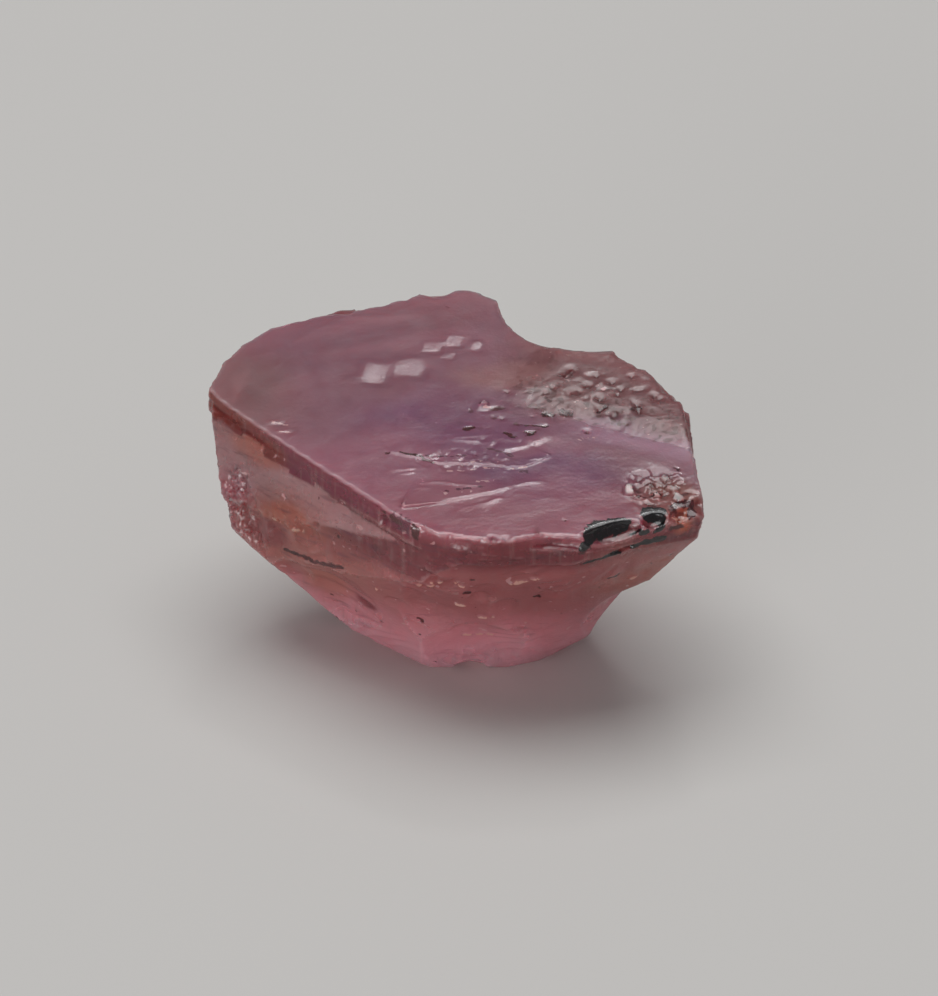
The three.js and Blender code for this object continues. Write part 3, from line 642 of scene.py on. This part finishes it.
def stoneColour(tree, parts, place, black):
    look, strong = corundum, strengths
    colour = mixColours(tree, parts["side"], look["mauve"], look["wall"])
    # the shelf is painted lighter and the riser darker, partly as light and shade; the underside, most of
    # all its low part, is painted lighter as the glow of light through the stone
    for name in ("corner", "rim", "shelf", "under", "low", *stains, "riser"):
        colour = mixColours(tree, parts[name], colour, look[name])
    # the ridge band keeps its own violet but is painted lighter, as the reflection on its smooth slope
    colour = mixColours(tree, times(tree, parts["ridge"], strong["ridge"]), colour, look["ridge"])
    rusty = reckon(tree, "MAXIMUM", parts["tan"], parts["orange"])
    colour = mixColours(tree, times(tree, rusty, parts["riser"], strong["rust"]), colour, look["rust"])
    # purple streaks along the walls, tan ones up them, and a soft mottle over the whole stone
    streaks = between(tree, cloud(tree, place, (0.5, 0.5, 0.1)), 0.55, 0.72)
    colour = mixColours(tree, times(tree, streaks, parts["wall"], strong["streaks"]), colour, look["purple"])
    upright = between(tree, cloud(tree, place, (0.09, 0.4, 0.7)), 0.53, 0.75)
    streaked = reckon(tree, "MAXIMUM", parts["wall"], parts["corner"])
    colour = mixColours(tree, times(tree, upright, streaked, strong["upright"]), colour, look["tan"])
    mottle = between(tree, cloud(tree, place, 0.7, 1.0), 0.35, 0.75)
    colour = mixColours(tree, times(tree, mottle, strong["mottle"]), colour, look["red"])
    # pale grains and dark holes of the crust, the holes painted dark as their shade, and dark and pale
    # specks on the broken faces
    grains = between(tree, cloud(tree, place, (0.09, 0.07, 0.09), 1.0), 0.7, 0.76)
    crust = reckon(tree, "MAXIMUM", parts["grain"], parts["rim"])
    colour = mixColours(tree, times(tree, grains, crust, strong["grains"]), colour, look["crystal"])
    hollows = between(tree, cloud(tree, place, (0.15, 0.19, 0.15), 1.0), 0.6, 0.68)
    hollows = reckon(tree, "MAXIMUM", parts["hole"], times(tree, hollows, parts["grain"]))
    colour = mixColours(tree, times(tree, hollows, strong["hollows"]), colour, look["hole"])
    scatter = cloud(tree, place, 0.16, 1.0)
    broken = reckon(tree, "MAXIMUM", parts["under"], parts["wall"])
    dark, light = between(tree, scatter, 0.74, 0.79), between(tree, scatter, 0.29, 0.24)
    colour = mixColours(tree, times(tree, dark, broken), colour, look["pit"])
    colour = mixColours(tree, times(tree, light, broken, strong["specks"]), colour, look["pale"])
    colour = mixColours(tree, parts["crystal"], colour, look["crystal"])
    # painted shade darkens the creases, and painted highlight pales the edges, partly as edge wear
    creaseShade = reckon(tree, "MULTIPLY_ADD", parts["under"], -0.4, 0.5)
    colour = mixColours(tree, times(tree, parts["crease"], creaseShade), colour, look["pit"])
    edgeWearAndShine = reckon(tree, "MULTIPLY_ADD", parts["corner"], -0.18, 0.22)
    colour = mixColours(tree, times(tree, parts["edge"], edgeWearAndShine), colour, look["pale"])
    # a painted highlight along the front rim, as a pale line
    colour = mixColours(tree, times(tree, parts["lip"], strong["lip"]), colour, look["lip"])
    # the marks, with ragged rims: pale lines with painted glints among them, painted glints, purple lines,
    # and pits painted dark as their shade
    ragged = reckon(tree, "MULTIPLY_ADD", cloud(tree, place, 0.06), 0.8, -0.4)
    for name in ("pale", "glint", "purple", "pit"):
        inside = between(tree, reckon(tree, "ADD", parts[name], ragged), 0.4, 0.6)
        colour = mixColours(tree, times(tree, inside, strong[name]), colour, look[name])
    # a painted grey-blue sheen over parts of the black inclusions
    sheen = times(tree, between(tree, ragged, 0.03, 0.12), strong["sheen"])
    return mixColours(tree, black, colour, mixColours(tree, sheen, look["black"], look["paintedSheenGrey"]))


def corundumMaterial():
    look = corundum
    material = bpy.data.materials.new("corundum")
    material.use_nodes = True
    tree = material.node_tree
    tree.nodes.clear()
    parts = partSockets(tree)
    metres = newNode(tree, "ShaderNodeTexCoord").outputs["Object"]
    place = newNode(tree, "ShaderNodeVectorMath", {0: metres, "Scale": 1 / mm}, operation="SCALE")
    place = place.outputs[0]   # in millimetres
    ragged = reckon(tree, "MULTIPLY_ADD", cloud(tree, place, 0.06), 0.3, parts["black"])
    black = between(tree, ragged, 0.6, 0.7)
    rough = between(tree, cloud(tree, place, 0.4), 0.2, 0.8, look["rough"])
    rough = reckon(tree, "MULTIPLY_ADD", parts["wall"], look["wallRough"], rough)
    rough = reckon(tree, "MULTIPLY_ADD", black, look["blackRough"], rough)
    rough = reckon(tree, "MULTIPLY_ADD", parts["grain"], look["grainRough"], rough)
    rough = reckon(tree, "MULTIPLY_ADD", parts["pit"], look["pitRough"], rough)
    calm = reckon(tree, "MULTIPLY_ADD", parts["top"], -0.75, 1.0)
    fine = times(tree, cloud(tree, place, 0.07), calm)
    height = reckon(tree, "MULTIPLY_ADD", cloud(tree, place, 0.5, 1.0), look["broadBump"], fine)
    bump = newNode(tree, "ShaderNodeBump", {"Height": height, "Strength": look["bump"],
                   "Distance": look["bumpHigh"] * mm})
    surface = newNode(tree, "ShaderNodeBsdfPrincipled", {
        "Base Color": stoneColour(tree, parts, place, black), "Roughness": rough,
        "Normal": bump.outputs["Normal"], "Transmission Weight": look["clear"], "IOR": look["ior"],
        "Specular IOR Level": look["gloss"], "Subsurface Weight": look["cloudy"],
        "Subsurface Radius": look["deep"], "Subsurface Scale": look["reach"] * mm})
    volume = newNode(tree, "ShaderNodeVolumeAbsorption", {
        "Color": look["absorbs"], "Density": look["absorption"]})
    output = newNode(tree, "ShaderNodeOutputMaterial")
    tree.links.new(surface.outputs["BSDF"], output.inputs["Surface"])
    tree.links.new(volume.outputs["Volume"], output.inputs["Volume"])
    return material


sapphire = carveStone()
sapphire.data.materials.clear()
sapphire.data.materials.append(corundumMaterial())
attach(sapphire, "root")
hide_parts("sapphire")
print("corundum material done")

# floor, light and camera
studio = {
    "floor": 0.6, "floorTone": tone("c4c2bf"), "floorRough": 0.6, "room": tone("dcdcdf"), "roomLight": 0.3,
    "target": (0.2551 * mm, -0.0948 * mm, 2.469 * mm), "distance": 110 * mm, "height": 30.0, "lens": 248.5,
    "sensor": 36.0, "nearest": 1 * mm,
}
# azimuth and height in degrees, distance and size in millimetres, power in watts
lights = {
    "overhead": (110, 80, 160, (160, 130), 0.205),
    "window": (84, 53, 200, (22, 16), 0.015),
    "front": (238, 8, 220, (160, 50), 0.23),
}


def layFloor():
    work = bmesh.new()
    bmesh.ops.create_grid(work, x_segments=1, y_segments=1, size=studio["floor"] / 2)
    mesh = bpy.data.meshes.new("floor")
    work.to_mesh(mesh)
    work.free()
    floor = bpy.data.objects.new("floor", mesh)
    scene.collection.objects.link(floor)
    material = bpy.data.materials.new("paleFloor")
    material.use_nodes = True
    surface = material.node_tree.nodes["Principled BSDF"]
    surface.inputs["Base Color"].default_value = studio["floorTone"]
    surface.inputs["Roughness"].default_value = studio["floorRough"]
    mesh.materials.append(material)


def hangLight(name, azimuth, tilt, far, size, power):
    lamp = bpy.data.lights.new(name, "AREA")
    lamp.shape = "RECTANGLE"
    lamp.size, lamp.size_y = size[0] * mm, size[1] * mm
    lamp.energy = power
    light = bpy.data.objects.new(name, lamp)
    scene.collection.objects.link(light)
    target = Vector(studio["target"])
    way = direction(azimuth, tilt)
    light.location = target + way * far * mm
    light.rotation_euler = (-way).to_track_quat("-Z", "Y").to_euler()


def setCamera():
    camera = bpy.data.objects.new("camera", bpy.data.cameras.new("camera"))
    scene.collection.objects.link(camera)
    camera.data.lens = studio["lens"]
    camera.data.sensor_width = studio["sensor"]
    camera.data.clip_start = studio["nearest"]
    way = direction(270, studio["height"])
    camera.location = Vector(studio["target"]) + way * studio["distance"]
    camera.rotation_euler = (-way).to_track_quat("-Z", "Y").to_euler()
    scene.camera = camera


layFloor()
for name, setting in lights.items():
    hangLight(name, *setting)
room = bpy.data.worlds.new("room")
room.use_nodes = True
room.node_tree.nodes["Background"].inputs["Color"].default_value = studio["room"]
room.node_tree.nodes["Background"].inputs["Strength"].default_value = studio["roomLight"]
scene.world = room
scene.view_settings.view_transform = "Standard"
setCamera()
print("studio done")
